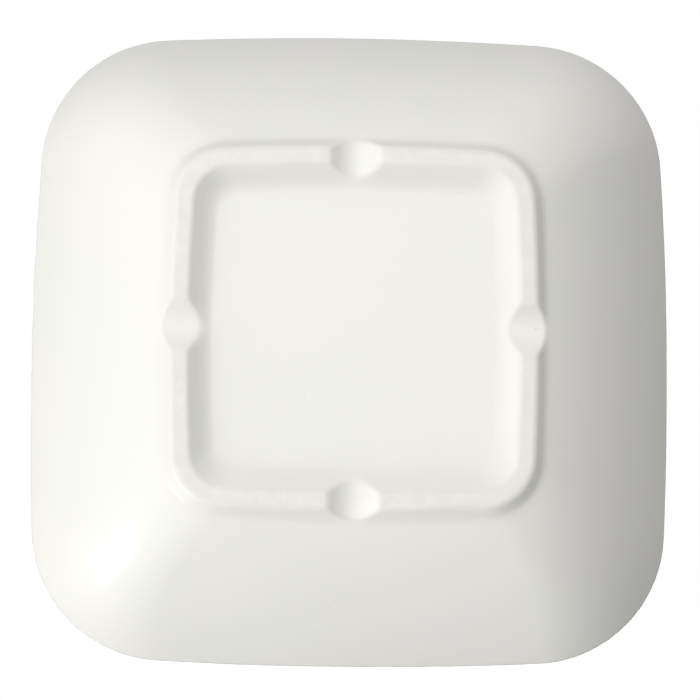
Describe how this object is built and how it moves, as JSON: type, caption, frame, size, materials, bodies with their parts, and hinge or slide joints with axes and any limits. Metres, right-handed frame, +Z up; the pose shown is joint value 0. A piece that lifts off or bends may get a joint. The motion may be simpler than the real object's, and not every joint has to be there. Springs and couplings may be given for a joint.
{
  "type": "square deep dish",
  "caption": "Square deep dish of glazed porcelain with bowed sides, round corners and a raised foot ring notched for draining. It stands on the foot and holds food.",
  "frame": {"origin": "centre of the dish on the plane of its foot face", "axes": "+Z up, from the foot to the open rim; X along the width and Y along the depth, both square to the sides"},
  "size_m": [0.2, 0.2, 0.044],
  "materials": {
    "white_glaze": "gloss"
  },
  "bodies": {
    "root": {"dish": "white_glaze"}
  },
  "joints": []
}
